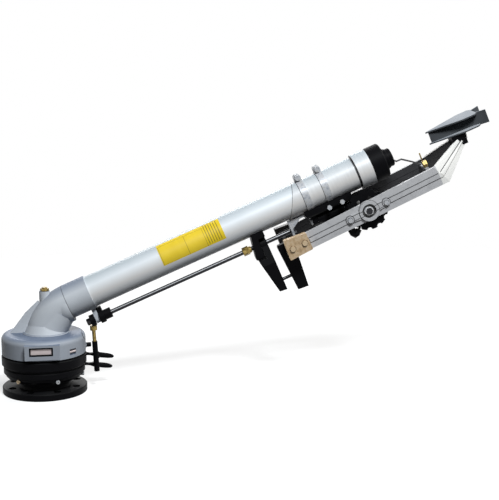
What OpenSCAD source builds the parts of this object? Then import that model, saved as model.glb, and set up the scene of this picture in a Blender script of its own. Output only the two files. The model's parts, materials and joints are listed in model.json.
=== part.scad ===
// Large impact sprinkler (big gun) on a flanged inlet. A braked turntable carries an elbow and a
// barrel at a fixed trajectory. A weighted drive arm with a deflector swings in front of the nozzle,
// and a trip lever that meets two stop fingers rolls the arm over to reverse the rotation.
// The origin is the centre of the flange's lower face, +Z is up and the barrel points along +X.
// All sizes are in millimetres and degrees.

/* [Inlet flange] */
// Outside diameter of the flange
flange_d = 198; // [192:1:215]
// Thickness of the flange
flange_t = 16; // [12:1:20]
// Diameter of the bolt circle
bolt_circle_d = 160; // [152:1:168]
// Diameter of the bolt holes
bolt_hole_d = 18; // [12:1:20]
// Number of bolt holes
bolt_holes = 8; // [4:1:10]
// Bore of the inlet
inlet_d = 80; // [74:1:84]
// Width of the neck's shoulder round the spigot
neck_w = 4; // [3:0.5:8]
// Height of the neck above the flange
neck_h = 18; // [14:1:26]

/* [Turntable] */
// Width of the housing's bowl beyond the drum
bowl_w = 12; // [8:0.5:14]
// Height of the bowl below the stop rings
bowl_h = 14; // [12:1:20]
// Diameter of the drum that the stop rings turn on
drum_d = 160; // [144:1:176]
// Wall of the drum
drum_wall = 9; // [7:0.5:11]
// Width of the lower stop ring beyond the drum
lower_ring_w = 15; // [12:0.5:18]
// Height of the lower stop ring's groove
lower_ring_h = 16; // [12:1:22]
// Width of the upper stop ring beyond the drum
upper_ring_w = 19; // [14:0.5:21]
// Height of the upper stop ring's groove
upper_ring_h = 23; // [16:1:28]
// Thickness of the spacer between the two rings
spacer_h = 4; // [3:0.5:6]
// Length of the stop fingers beyond their rings
finger_l = 68; // [50:1:76]
// Width of the stop fingers
finger_w = 9; // [6:0.5:11]
// Angle between the barrel's heading and the stop fingers
finger_angle = 14; // [13:1:20]
// Radial width of the turntable bearing
bearing_w = 26; // [24:0.5:30]
// Diameter of the bearing balls
ball_d = 12; // [10:0.5:12]
// Number of bearing balls
balls = 14; // [10:1:16]
// Thickness of the brake ring
brake_t = 3.2; // [2:0.2:5]

/* [Elbow] */
// Width of the bell beyond the drum
bell_w = 18; // [16:0.5:22]
// Height of the bell
bell_h = 47; // [44:1:54]
// Wall of the bell
bell_wall = 9; // [6:1:9]
// Height of the barrel's axis above the bell, at the swivel axis
elbow_rise = 45.5; // [42:0.5:50]
// Trajectory of the barrel above level
trajectory = 23; // [21:0.5:25]
// Centreline radius of the elbow
bend_r = 97; // [92:1:102]
// Width of the elbow's foot beyond its bend
foot_w = 9.5; // [8:0.5:12]
// Wall of the elbow
elbow_wall = 4.5; // [4:0.5:6]
// Step in the socket that the barrel's end rests on
step_w = 2; // [1.5:0.5:3]
// Thickness of the elbow's back rib
rib_t = 9; // [6:1:14]

/* [Barrel and nozzle] */
// Outside diameter of the barrel
barrel_d = 76; // [75:0.5:77]
// Wall of the barrel
barrel_wall = 3; // [2:0.5:4]
// Distance along the axis from the swivel axis to the end of the sleeve
barrel_l = 804; // [800:1:806]
// Length of the socket that holds the barrel
socket_l = 57; // [54:1:60]
// Wall of the socket
socket_wall = 3; // [2.5:0.5:5]
// Length of the sleeve on top of the barrel
sleeve_top_l = 148; // [144:1:160]
// Length of the sleeve below the barrel
sleeve_low_l = 186; // [180:1:200]
// Width of each clamp band
band_w = 16; // [12:1:20]
// Wall of the nozzle ring
nozzle_ring_w = 5.5; // [4.5:0.5:7]
// Length of the nozzle ring
nozzle_ring_l = 36; // [30:1:40]
// Length of the nozzle cap
nozzle_cap_l = 36; // [32:1:44]
// Diameter of the nozzle's outlet
outlet_d = 30; // [20:1:34]
// Length of the nozzle's nose beyond the cap
nose_l = 21; // [16:1:22]

/* [Reversing gear] */
// Distance of the reversing rod's axis below the barrel's wall
rod_gap = 27; // [26:0.5:30]
// Diameter of the reversing rod
rod_d = 11; // [9:0.5:12]
// Roll of the reversing gear at rest, one end of its travel
roll = 4; // [0:0.5:5]
// Diameter of the trip lever's sleeve
trip_sleeve_d = 13; // [11:0.5:14]
// Length of the trip lever below the reversing rod
trip_l = 126; // [100:1:130]
// Diameter of the trunnion that the yoke rolls on
trunnion_d = 16; // [12:1:17]

/* [Drive arm] */
// Distance of the arm's pivot behind the end of the sleeve
pivot_back = 10; // [6:1:14]
// Distance of the pivot below the reversing rod
pivot_below = 16; // [15:0.5:18]
// Distance between the two arms
arm_gap = 104; // [102:1:112]
// Thickness of each arm
arm_t = 8; // [6:0.5:9]
// Depth of the arms behind the pivot
arm_rear_depth = 41; // [38:1:44]
// Depth of the arms at the bend
arm_front_depth = 48; // [44:1:52]
// Length of the arms from the pivot to the bend
arm_l = 191; // [186:1:196]
// Length of the bent part of the arms
bent_l = 103; // [100:1:105]
// Diameter of the pivot shaft
pivot_d = 16; // [12:1:18]
// Outside diameter of the star wheel
star_d = 98; // [90:1:99]
// Thickness of the star wheel
star_t = 10; // [6:0.5:10]
// Thickness of the arm weights
weight_t = 15; // [6:1:20]
// Length of the deflector
deflector_l = 150; // [140:1:160]
// Height of the deflector over both plates
deflector_h = 32; // [28:1:34]
// Half the width of the deflector's plates
deflector_half_w = 32; // [28:1:36]
// Thickness of the deflector's plates
deflector_t = 3; // [2:0.5:4]

/* [Hidden] */
$fn = 64;

// Radial clearance of shafts and seats, and the gap between faces that turn over each other
fit = 0.05;
seat = 0.3;
// Margin by which a cutter passes the face that it cuts
cut = 1;

// Widths of the base, from the drum in and out
race_out_r = drum_d/2 - drum_wall;
spindle_r = race_out_r - bearing_w;
race_in_r = spindle_r + fit;
spindle_wall = 7;
spindle_bore_r = spindle_r - spindle_wall;
spigot_wall = 4;
spigot_r = spindle_r + 10;
neck_d = 2*(spigot_r + neck_w);
bowl_d = drum_d + 2*bowl_w;
lower_ring_d = drum_d + 2*lower_ring_w;
upper_ring_d = drum_d + 2*upper_ring_w;
bell_d = drum_d + 2*bell_w;

// Heights of the base, from the flange up
spigot_h = 16;
housing_floor = 8;
screw_head_r = 4.5;
z_neck = flange_t + neck_h;
z_low_ring = z_neck + bowl_h;
z_spacer = z_low_ring + lower_ring_h;
z_up_ring = z_spacer + spacer_h;
z_drum = z_up_ring + upper_ring_h + 0.5;
z_bell = z_drum + brake_t + seat;
z_bell_top = z_bell + bell_h;
seal_floor = z_neck - 10;
spindle_z = seal_floor + 2;
spindle_top = z_bell_top - 9;

// Bearing between the housing and the spindle
race_w = 24;
race_z = z_neck + housing_floor + 18;
ball_pitch_r = (race_out_r + race_in_r)/2 + 3;
race_gap = 4;
ball_play = 0.2;

// Bell
axis_h = z_bell_top + elbow_rise;
bell_roof = 13;
bell_round = 14;
hub_wall = 11;
window_w = 80;
window_h = 34;
window_mid_z = z_bell + 21;
window_in_w = 54;
window_in_h = 20;
window_in_x = -2.5;
window_in_z = window_mid_z + 2.5;
window_face = bell_d/2 + 5;
window_depth = 5;
slot_angle = -45;
slot_w = 20;
slot_h = 14;
slot_depth = 5;
slot_z = z_bell + 14;
screw_angle = 12;
screw_z = z_bell + 7;
port_x = 6;
port_r = 12.8;
port_top = axis_h + 52.5;
flare_x = 6.5;
flare_h = 22;
throat_lean = 33;
throat_l = 60;
throat_x = flare_x + throat_l*0.82;
throat_z = z_bell_top + throat_l*1.04;

// Diameters that follow the barrel
passage_d = barrel_d - 2*step_w;
elbow_end_d = passage_d + 2*elbow_wall;
elbow_base_d = elbow_end_d + 2*foot_w;
socket_d = barrel_d + 2*socket_wall;
nozzle_ring_d = barrel_d + 2*nozzle_ring_w;
rod_drop = barrel_d/2 + rod_gap;
pivot_drop = rod_drop + pivot_below;

// Elbow: the centreline runs from the swivel axis round to the barrel's axis
turn = 90 - trajectory;
bend_z = axis_h - bend_r*(sin(turn) - (1 - cos(turn))*tan(trajectory));
seam_s = bend_r*(1 - cos(turn))/cos(trajectory);

// Barrel
barrel_r = barrel_d/2;
barrel_start = seam_s + 28;
socket_end = seam_s + socket_l;
ring_s = barrel_l + 4;
ring_end = ring_s + nozzle_ring_l;
barrel_end = ring_end - 5;
cap_end = ring_end + nozzle_cap_l;
outlet_s = cap_end + nose_l;
nose_r = 24;
sleeve_r = barrel_r + 1.2;
band_t = 1.8;
band_s = [barrel_l - 130, barrel_l - 80];
band_lug_y = 11;
band_lug_v = barrel_r + 9.5;

// Reversing gear, along the barrel
rod_r = rod_d/2;
rod_v = -rod_drop;
lug_s = socket_end - 15;
lug_t = 10;
hub_s = lug_s - 13;
hub_l = 11;
hanger_s = barrel_l - 295;
hanger_t = 22;
lever_s = hanger_s + hanger_t + 1;
lever_e = lever_s + 16;
bracket_s = barrel_l - 192;
bracket_t = 5;
rod_start = 84;
rod_end = bracket_s + bracket_t + 4;
trip_lean = 3;
knuckle_r = 8.5;
knuckle_top = 13;
knuckle_h = 11;
trip_rod_r = 4.5;
trip_brass_l = 52;

// Saddle and yoke
saddle_s = barrel_l - 149;
saddle_l = 120;
saddle_w = 52;
saddle_bottom = rod_v + trunnion_d/2 + 6;
saddle_seat_r = sleeve_r + band_t + seat;
saddle_bolt_s = [saddle_s + 60, saddle_s + 93];
saddle_bolt_v = saddle_bottom + 5;
lug_pair_s = [saddle_s + 13, saddle_s + 95];
lug_pair_t = 12;
lug_pair_r = trunnion_d/2 + 4.5;
yoke_hub_r = trunnion_d/2 + 4;
pivot_s = barrel_l - pivot_back;
pivot_v = -pivot_drop;
pivot_r = pivot_d/2;
yoke_beam_top = rod_v - lug_pair_r - 2;
yoke_beam_bottom = yoke_beam_top - 17.5;
yoke_half_w = 16;
yoke_near = 36;
nose_s = pivot_s + 66;
nose_top = pivot_v + 5;
nose_bottom = pivot_v - 5;
pad_t = 4;
tie_r = 5;

// Drive arm, in a frame at the pivot that is tilted against the barrel
arm_tilt = 2.35;
inner_y = arm_gap/2;
outer_y = inner_y + arm_t;
tail_root = -157;
tail_end = -210;
tongue_t = 4;
bent_up = 25.3;
bent_in = 24.5;
arm_half_0 = arm_rear_depth/2;
arm_half_1 = arm_front_depth/2;
bend_lean = tan(bent_up)*arm_half_1;
boss_r = 24;
boss_proud = 6;
recess_r = 17;
bush_r = pivot_r + 5;
carrier_t = 3.4;
bolt_a = [-50, 44.5];
weight_bolt_a = [-200, -169];
weight_bolt_b = 2;
weight_face = -inner_y - tongue_t - weight_t;
tail_weight_in = -24;
star_y = inner_y - carrier_t - 0.6;
star_gullet_r = 6.5;
star_teeth = 12;
detent_angle = 225;
pin_drop = 79;
pin_r = 4;
pin_y = -18;
breaker_s = pivot_s + arm_l - 17;
breaker_v = -62;
clamp_r = 9;
clamp_wire_v = breaker_v + 16;
deflector_tip = pivot_s + arm_l + 11;
deflector_top = 20;
deflector_bottom = deflector_top - deflector_h;
deflector_bolt_s = [deflector_tip + 62, deflector_tip + 74];
plate_l = deflector_l - 25;
wall_start = deflector_l - 64;
wall_turn = 24;
wall_r = 150;
wall_lead = 12;
bracket_top = deflector_bottom;
bracket_h = 28;

// Frames: on the barrel's axis, rolled with the reversing gear, at the pivot and along the arm
module on_barrel(s = 0, v = 0)
    translate([0, 0, axis_h]) rotate([0, -trajectory, 0]) translate([s, 0, v]) children();
module rolled()
    on_barrel(0, rod_v) rotate([roll, 0, 0]) translate([0, 0, -rod_v])
        rotate([0, trajectory, 0]) translate([0, 0, -axis_h]) children();
module on_reverser(s = 0, v = 0) rolled() on_barrel(s, v) children();
module on_pivot() on_reverser(pivot_s, pivot_v) children();
module on_arm() on_pivot() rotate([0, -arm_tilt, 0]) children();
module on_trip()
    rolled() on_barrel(hub_s + hub_l/2, rod_v) rotate([0, trajectory - trip_lean, 0]) children();

// Solids with their axis along the barrel or across it
module along(r, l) rotate([0, 90, 0]) cylinder(r = r, h = l);
module across(r, y0, y1) translate([0, y1, 0]) rotate([90, 0, 0]) cylinder(r = r, h = y1 - y0);
module tube_along(r_out, r_in, l) difference() {
    along(r_out, l);
    translate([-cut, 0, 0]) along(r_in, l + 2*cut);
}
module hex_along(r, l) rotate([0, 90, 0]) cylinder(r = r, h = l, $fn = 6);
module hex_across(r, y0, y1) translate([0, y1, 0]) rotate([90, 0, 0]) cylinder(r = r, h = y1 - y0, $fn = 6);
// A side outline (x, z) drawn as a plate from y0 to y1
module side_plate(y0, y1) translate([0, y1, 0]) rotate([90, 0, 0]) linear_extrude(y1 - y0) children();
// An end outline (y, z) drawn as a plate from x0 to x1
module end_plate(x0, x1) translate([x0, 0, 0]) rotate([90, 0, 90]) linear_extrude(x1 - x0) children();
module ring_of(n, first = 0) for (i = [0:n - 1]) rotate([0, 0, first + i*360/n]) children();

function arc(cx, cy, r, a0, a1, n) = [for (i = [0:n]) let (a = a0 + (a1 - a0)*i/n) [cx + r*cos(a), cy + r*sin(a)]];

// Base

module inlet_flange() color("#26282c") {
    edge = 1.5;
    r = flange_d/2;
    difference() {
        rotate_extrude($fn = 96) polygon([
            [inlet_d/2, 0], [r - edge, 0], [r, edge], [r, flange_t - edge], [r - edge, flange_t],
            [neck_d/2 + 3, flange_t], [neck_d/2, flange_t + 6], [neck_d/2, z_neck], [spigot_r, z_neck],
            [spigot_r, z_neck + spigot_h], [spigot_r - spigot_wall, z_neck + spigot_h],
            [spigot_r - spigot_wall, seal_floor], [inlet_d/2, seal_floor]]);
        ring_of(bolt_holes, 180/bolt_holes) translate([bolt_circle_d/2, 0, -cut])
            cylinder(r = bolt_hole_d/2, h = flange_t + 2*cut);
    }
}

module housing_screw_places() ring_of(6, -69)
    translate([bowl_d/2 - 8, 0, z_low_ring - 6]) rotate([0, 90, 0]) children();

module brake_housing() color("#2b2d31") difference() {
    rotate_extrude($fn = 96) polygon([
        [spigot_r + fit, z_neck], [bowl_d/2 - 15, z_neck], [bowl_d/2 - 7, z_neck + 3.5],
        [bowl_d/2 - 2, z_low_ring - 5], [bowl_d/2, z_low_ring], [drum_d/2, z_low_ring],
        [drum_d/2, z_drum], [race_out_r, z_drum], [race_out_r, race_z], [race_out_r - 5, race_z],
        [race_out_r - 5, z_neck + housing_floor], [spigot_r + fit, z_neck + housing_floor]]);
    housing_screw_places() cylinder(r = screw_head_r + 0.4, h = 20);
}

module housing_screws() color("#c9ccd0") housing_screw_places() difference() {
    cylinder(r = screw_head_r, h = 9.5);
    translate([0, 0, 6]) cylinder(r = screw_head_r/2, h = 4, $fn = 6);
}

module lip_seal() color("#1c1c1e") {
    r = spigot_r - spigot_wall - fit;
    z = seal_floor + 4;
    lip = spindle_r + seat;
    rotate_extrude() polygon([[lip, z + 9], [lip + 0.6, z], [r, z], [r, z + 12], [r - 1.5, z + 12],
                              [r - 1.5, z + 3], [lip + 2, z + 3], [lip + 1.6, z + 9]]);
}

module race_groove() rotate_extrude() translate([ball_pitch_r, race_z + race_w/2])
    circle(r = ball_d/2 + ball_play);

module bearing_outer_race() color("#b9bcc0") difference() {
    rotate_extrude() translate([ball_pitch_r + race_gap/2, race_z])
        square([race_out_r - fit - ball_pitch_r - race_gap/2, race_w]);
    race_groove();
}

module bearing_inner_race() color("#b9bcc0") difference() {
    rotate_extrude() translate([race_in_r, race_z])
        square([ball_pitch_r - race_gap/2 - race_in_r, race_w]);
    race_groove();
}

// The balls and, round them, the cage that spaces them
module bearing_balls() color("#d4d6d8") {
    cage_t = race_gap - 2*seat;
    cage_h = ball_d + 5;
    ring_of(balls) translate([ball_pitch_r, 0, race_z + race_w/2]) sphere(r = ball_d/2, $fn = 24);
    difference() {
        rotate_extrude() translate([ball_pitch_r - cage_t/2, race_z + (race_w - cage_h)/2])
            square([cage_t, cage_h]);
        ring_of(balls) translate([ball_pitch_r, 0, race_z + race_w/2])
            sphere(r = ball_d/2 + ball_play, $fn = 24);
    }
}

module bearing_nut() color("#9da0a4") {
    z0 = z_neck + spigot_h + 0.6;
    difference() {
        translate([0, 0, z0]) cylinder(r = spindle_r + 11, h = race_z - z0);
        translate([0, 0, z0 - cut]) cylinder(r = spindle_r + fit, h = race_z - z0 + 2*cut);
        ring_of(4) translate([spindle_r + 8.5, -3, z0 - cut]) cube([4, 6, race_z - z0 + 2*cut]);
    }
}

module brake_ring() color("#6b4a36") translate([0, 0, z_drum]) difference() {
    cylinder(r = drum_d/2, h = brake_t);
    translate([0, 0, -cut]) cylinder(r = race_out_r + 1, h = brake_t + 2*cut);
}

module ring_spacer() color("#1f2023") translate([0, 0, z_spacer]) difference() {
    cylinder(r = bowl_d/2, h = spacer_h, $fn = 96);
    translate([0, 0, -cut]) cylinder(r = drum_d/2 + fit, h = spacer_h + 2*cut, $fn = 96);
}

// A stop ring turns stiffly on the drum and carries one drooping finger with a winged grip
module stop_ring(d, z, h, finger_z) {
    droop = 11;
    edge = 2;
    difference() {
        rotate_extrude($fn = 96) polygon([
            [drum_d/2 + fit, z + seat], [d/2 - edge, z + seat], [d/2, z + seat + edge],
            [d/2, z + h - seat - edge], [d/2 - edge, z + h - seat], [drum_d/2 + fit, z + h - seat]]);
        rotate([0, 0, 190]) translate([drum_d/2 - cut, -1, z]) cube([d/2, 2, h]);
    }
    rotate([0, 0, finger_angle]) translate([d/2, 0, finger_z]) rotate([0, droop, 0])
        side_plate(-finger_w/2, finger_w/2) {
            polygon([[-6, -4], [-6, 4], [12, 2.6], [20, 4], [26, 7], [33, 6], [40, 4],
                     [finger_l - 4, 4], [finger_l - 4, -4], [26, -5], [12, -2.6]]);
            translate([finger_l - 4, 0]) circle(r = 4);
        }
}

module upper_stop_ring() color("#2a2c30")
    stop_ring(upper_ring_d, z_up_ring, upper_ring_h, z_up_ring + 12);
module lower_stop_ring() color("#2a2c30")
    stop_ring(lower_ring_d, z_spacer - lower_ring_h, lower_ring_h, z_low_ring + 8);

// Turning head

module bend(r) translate([bend_r, 0, bend_z]) rotate([90, 0, 0]) rotate([0, 0, 180 - turn])
    rotate_extrude(angle = turn) translate([bend_r, 0]) circle(r = r);
module bend_bore() bend(passage_d/2);

// A bend that flares into the bell and is fuller on its inner side, with a rib on its back
module elbow() color("#b4bac2") difference() {
    r = elbow_end_d/2;
    union() {
        bend(r);
        translate([flare_x, 0, z_bell_top - cut]) cylinder(r1 = elbow_base_d/2 + 1, r2 = r, h = flare_h);
        translate([flare_x, 0, z_bell_top]) rotate([0, throat_lean, 0])
            cylinder(r1 = r + 2.5, r2 = r + 0.5, h = throat_l);
        translate([throat_x, 0, throat_z]) sphere(r = r + 1.5);
        side_plate(-rib_t/2, rib_t/2) polygon([
            [-75, z_bell_top - cut], [-75, z_bell_top + 2], [-41, z_bell_top + 46.5],
            [-10, z_bell_top + 75.5], [0, z_bell_top + 60], [-25, z_bell_top - cut]]);
        translate([port_x, 0, z_bell_top + 50]) cylinder(r = port_r, h = port_top - z_bell_top - 50);
    }
    bend_bore();
    translate([port_x, 0, port_top - 60]) cylinder(r = 6, h = 60 + cut);
    translate([-bell_d, -bell_d, z_bell_top - bell_d]) cube([2*bell_d, 2*bell_d, bell_d]);
    on_barrel(seam_s) translate([0, -elbow_base_d, -elbow_base_d]) cube(2*elbow_base_d);
}

// The bell turns with the barrel: a hub on the spindle, a pressure face over the brake ring and a skirt
module turntable_bell() color("#b4bac2") {
    r = bell_d/2;
    hub_r = spindle_r + hub_wall;
    roof_z = z_bell_top - bell_roof;
    difference() {
        union() {
            rotate_extrude($fn = 96) polygon(concat(
                [[r, z_bell]], arc(r - bell_round, z_bell_top - bell_round, bell_round, 0, 90, 8),
                [[10, z_bell_top], [10, spindle_top], [spindle_r + fit, spindle_top],
                 [spindle_r + fit, race_z + race_w], [hub_r, race_z + race_w], [hub_r, roof_z],
                 [race_out_r + 1, roof_z], [race_out_r + 1, z_bell], [drum_d/2, z_bell],
                 [drum_d/2, roof_z], [r - bell_wall, roof_z], [r - bell_wall, z_bell]]));
            translate([-window_w/2, -window_face, window_mid_z - window_h/2])
                cube([window_w, window_face - r + 12, window_h]);
            rotate([0, 0, screw_angle]) translate([r - 6, 0, screw_z]) rotate([0, 90, 0])
                cylinder(r = 8, h = 8);
        }
        bend_bore();
        translate([0, 0, spindle_top - cut]) cylinder(r = 30, h = bell_roof);
        translate([window_in_x - window_in_w/2, -window_face - cut, window_in_z - window_in_h/2])
            cube([window_in_w, window_depth + cut, window_in_h]);
        rotate([0, 0, slot_angle]) translate([r - slot_depth, -slot_w/2, slot_z - slot_h/2])
            cube([slot_depth + cut, slot_w, slot_h]);
        rotate([0, 0, screw_angle]) translate([drum_d/2 + 2, 0, screw_z])
            rotate([0, 90, 0]) cylinder(r = 4 + fit, h = r);
    }
}

module spindle() color("#8f9398") rotate_extrude() polygon([
    [spindle_bore_r, spindle_z], [spindle_r - 1, spindle_z], [spindle_r, spindle_z + 1],
    [spindle_r, spindle_top], [spindle_bore_r, spindle_top]]);

// A bare plate in the window's recess, and a steel pin across the slot beside it
module bell_inserts() color("#a89f9f") {
    translate([window_in_x - window_in_w/2 + 1, -window_face + window_depth - 2,
               window_in_z - window_in_h/2 + 1])
        cube([window_in_w - 2, 2, window_in_h - 2]);
    rotate([0, 0, slot_angle]) translate([bell_d/2 - 2.6, 0, slot_z]) rotate([90, 0, 0])
        cylinder(r = 2.3, h = slot_w - 0.4, center = true);
}

module brake_screw() color("#303236") rotate([0, 0, screw_angle]) translate([0, 0, screw_z]) {
    translate([drum_d/2 + 4, 0, 0]) rotate([0, 90, 0]) cylinder(r = 4, h = bell_d/2 - drum_d/2);
    translate([bell_d/2 + 2 + fit, 0, 0]) rotate([0, 90, 0]) cylinder(r = 5.5, h = 12, $fn = 24);
}

module port_plug() color("#b08d4a") translate([port_x, 0, port_top]) {
    translate([0, 0, -16]) cylinder(r = 6 - fit, h = 17);
    cylinder(r = 10.5, h = 6, $fn = 6);
    translate([0, 0, 5]) cylinder(r = 6.5, h = 4);
}

module barrel_socket() color("#b4bac2") on_barrel() difference() {
    union() {
        translate([seam_s, 0, 0]) along(socket_d/2, socket_l);
        end_plate(lug_s, lug_s + lug_t) {
            translate([0, rod_v]) circle(r = rod_r + 6);
            translate([-rod_r - 6, rod_v]) square([2*rod_r + 12, rod_drop - socket_d/2 + 6]);
        }
    }
    translate([seam_s - cut, 0, 0]) along(passage_d/2, socket_l + 2*cut);
    translate([barrel_start, 0, 0]) along(barrel_r + fit, socket_l);
    translate([lug_s - cut, 0, rod_v]) along(rod_r + fit, lug_t + 2*cut);
}

module barrel() color("#c4c8cc") on_barrel(barrel_start)
    tube_along(barrel_r, barrel_r - barrel_wall, barrel_end - barrel_start);

// Six flow-straightening vanes on a core tube
module stream_vanes() color("#9aa0a6") on_barrel(barrel_end - 190) {
    l = 150;
    r = barrel_r - barrel_wall - fit;
    tube_along(10, 8.5, l);
    for (i = [0:5]) rotate([60*i, 0, 0]) translate([0, -0.75, 9.5]) cube([l, 1.5, r - 9.5]);
}

// A thin sleeve whose rear edge is cut oblique, longer below than above
module nozzle_sleeve() color("#c9cdd1") on_barrel() difference() {
    translate([barrel_l - sleeve_low_l, 0, 0]) tube_along(sleeve_r, barrel_r + fit, sleeve_low_l);
    slope = (sleeve_low_l - sleeve_top_l)/(2*sleeve_r);
    z = sleeve_r + cut;
    side_plate(-z, z) polygon([
        [barrel_l - sleeve_low_l - cut, -z], [barrel_l - sleeve_low_l + (sleeve_r - z)*slope, -z],
        [barrel_l - sleeve_top_l + (z - sleeve_r)*slope, z], [barrel_l - sleeve_low_l - cut, z]]);
}

module clamp_bands() color("#c9cdd1") for (s = band_s) on_barrel(s - band_w/2) difference() {
    union() {
        tube_along(sleeve_r + band_t, sleeve_r + fit, band_w);
        for (m = [0, 1]) mirror([0, m, 0]) translate([0, 4, 0]) {
            translate([0, 0, sleeve_r + 0.5]) cube([band_w, band_lug_y - 4, band_lug_v - sleeve_r - 0.5]);
            translate([band_w/2, 0, band_lug_v]) across(band_w/2, 0, band_lug_y - 4);
        }
    }
    translate([-cut, -4, sleeve_r - 4]) cube([band_w + 2*cut, 8, 30]);
    translate([band_w/2, 0, band_lug_v]) across(3 + fit, -20, 20);
}

module clamp_bolts() color("#d4d6d8") for (s = band_s) on_barrel(s, band_lug_v) {
    across(3, -band_lug_y - 4, band_lug_y + 9);
    across(6.5, -band_lug_y - 8, -band_lug_y);
    hex_across(6.5, band_lug_y, band_lug_y + 6);
}

module nozzle_ring() color("#c4c8cc") on_barrel() rotate([0, 90, 0]) rotate_extrude() polygon([
    [barrel_r + fit, ring_s], [nozzle_ring_d/2 - 1, ring_s], [nozzle_ring_d/2, ring_s + 1],
    [nozzle_ring_d/2, ring_end], [barrel_r + 2, ring_end], [barrel_r + 2, ring_end + 14],
    [barrel_r - barrel_wall, ring_end + 14], [barrel_r - barrel_wall, barrel_end],
    [barrel_r + fit, barrel_end]]);

module nozzle_cap() color("#1f2024") on_barrel() rotate([0, 90, 0]) rotate_extrude() polygon([
    [barrel_r + 2 + fit, ring_end], [nozzle_ring_d/2 - 0.3, ring_end],
    [nozzle_ring_d/2 - 0.3, cap_end - 3], [nozzle_ring_d/2 - 3, cap_end], [28.4, cap_end],
    [28.4, cap_end + 4], [nose_r + fit, cap_end + 4], [nose_r + fit, ring_end + 33],
    [nose_r + 12 + fit, ring_end + 21], [barrel_r + 2 + fit, ring_end + 19]]);

// The nozzle is held by the cap and narrows to the outlet
module nozzle() color("#18191c") on_barrel() rotate([0, 90, 0]) rotate_extrude() polygon([
    [barrel_r - barrel_wall - 2, ring_end + 14], [barrel_r + 2, ring_end + 14],
    [barrel_r + 2, ring_end + 19], [nose_r + 12, ring_end + 21], [nose_r, ring_end + 33],
    [nose_r, cap_end + 9], [nose_r - 2, cap_end + 11], [nose_r - 2, outlet_s - 2], [nose_r - 4, outlet_s],
    [outlet_d/2, outlet_s], [outlet_d/2, outlet_s - 6], [outlet_d/2 + 4, ring_end + 31]]);

// Carriers of the reversing rod

module rod_rear_bearing() color("#222327") on_barrel() difference() {
    union() {
        end_plate(lug_s + lug_t, lug_s + lug_t + 12) {
            translate([0, rod_v]) circle(r = rod_r + 10.5);
            translate([-10, rod_v]) square([20, rod_drop - socket_d/2 - 0.5]);
        }
        translate([lug_s + lug_t + 11, 0, rod_v]) along(12.5, 19);
    }
    translate([lug_s, 0, rod_v]) along(rod_r + fit, 60);
    translate([lug_s, 0, 0]) along(socket_d/2 + seat, 60);
}

module rod_hanger() color("#222327") on_barrel() difference() {
    intersection() {
        side_plate(-30, 30) polygon([
            [hanger_s + 10, -barrel_r + 12], [lever_e + 1, -barrel_r + 12], [lever_e + 1, rod_v + 18],
            [hanger_s + hanger_t, rod_v + 17], [hanger_s + hanger_t, rod_v - 29], [hanger_s, rod_v - 29],
            [hanger_s, rod_v - 24]]);
        end_plate(hanger_s - cut, lever_e + 2)
            polygon([[-24, -barrel_r + 12], [24, -barrel_r + 12], [15, rod_v - 29], [-15, rod_v - 29]]);
    }
    translate([hanger_s - cut, 0, 0]) along(barrel_r + fit, 60);
    translate([hanger_s - cut, 0, rod_v]) along(rod_r + fit, hanger_t + 2*cut);
}

module saddle() color("#2a2b2f") on_barrel() difference() {
    union() {
        end_plate(saddle_s, saddle_s + saddle_l)
            polygon([[-saddle_w/2, -barrel_r + 8], [saddle_w/2, -barrel_r + 8],
                     [saddle_w/2, saddle_bottom + 4], [saddle_w/2 - 4, saddle_bottom],
                     [-saddle_w/2 + 4, saddle_bottom], [-saddle_w/2, saddle_bottom + 4]]);
        for (s = lug_pair_s) end_plate(s, s + lug_pair_t) {
            translate([0, rod_v]) circle(r = lug_pair_r);
            translate([-lug_pair_r, rod_v]) square([2*lug_pair_r, saddle_bottom - rod_v + 2]);
        }
    }
    translate([saddle_s - cut, 0, 0]) along(saddle_seat_r, saddle_l + 2*cut);
    for (s = lug_pair_s) translate([s - cut, 0, rod_v]) along(trunnion_d/2 + fit, lug_pair_t + 2*cut);
    for (s = saddle_bolt_s) translate([s, 0, saddle_bolt_v]) across(3 + fit, -saddle_w, saddle_w);
}

module saddle_bolts() color("#d4d6d8") for (s = saddle_bolt_s) on_barrel(s, saddle_bolt_v) {
    across(3, -saddle_w/2 - 5, saddle_w/2 + 8);
    hex_across(6, -saddle_w/2 - 5, -saddle_w/2);
    hex_across(6, saddle_w/2, saddle_w/2 + 5);
}

// An angle bracket on the saddle's rear face that carries the rod's front end
module rod_bracket() color("#c9ccd0") on_barrel() {
    shelf_top = -sleeve_r - seat;
    difference() {
        union() {
            translate([bracket_s, -13, rod_v - 19]) cube([bracket_t, 26, shelf_top - rod_v + 19]);
            translate([bracket_s, -13, shelf_top - bracket_t])
                cube([saddle_s - bracket_s, 26, bracket_t]);
            side_plate(-13, -10) polygon([
                [bracket_s + bracket_t - 1, rod_v + 4], [bracket_s + bracket_t - 1, shelf_top - bracket_t + 1],
                [saddle_s - 12, shelf_top - bracket_t + 1]]);
        }
        translate([bracket_s - cut, 0, rod_v]) along(rod_r + fit, bracket_t + 2*cut);
        translate([bracket_s + 25, 0, shelf_top - bracket_t - cut]) cylinder(r = 3.5, h = bracket_t + 2*cut);
    }
}

// Reversing gear: what rolls about the rod's axis

module reversing_rod() color("#d9dbde") on_reverser(rod_start, rod_v) along(rod_r, rod_end - rod_start);

module rod_nuts() color("#b08d4a") {
    on_reverser(rod_start, rod_v) difference() {
        hex_along(8.4, hub_s - rod_start);
        translate([-cut, 0, 0]) along(rod_r + fit, hub_s - rod_start + 2*cut);
    }
    on_reverser(hanger_s - 22, rod_v) difference() {
        union() {
            hex_along(11, 15);
            translate([14, 0, 0]) along(8, 7);
        }
        translate([-cut, 0, 0]) along(rod_r + fit, 30);
    }
}

module knuckle_space(gap) on_trip() translate([0, 0, -knuckle_top - knuckle_h])
    cylinder(r = knuckle_r + gap, h = knuckle_h + gap);

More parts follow.
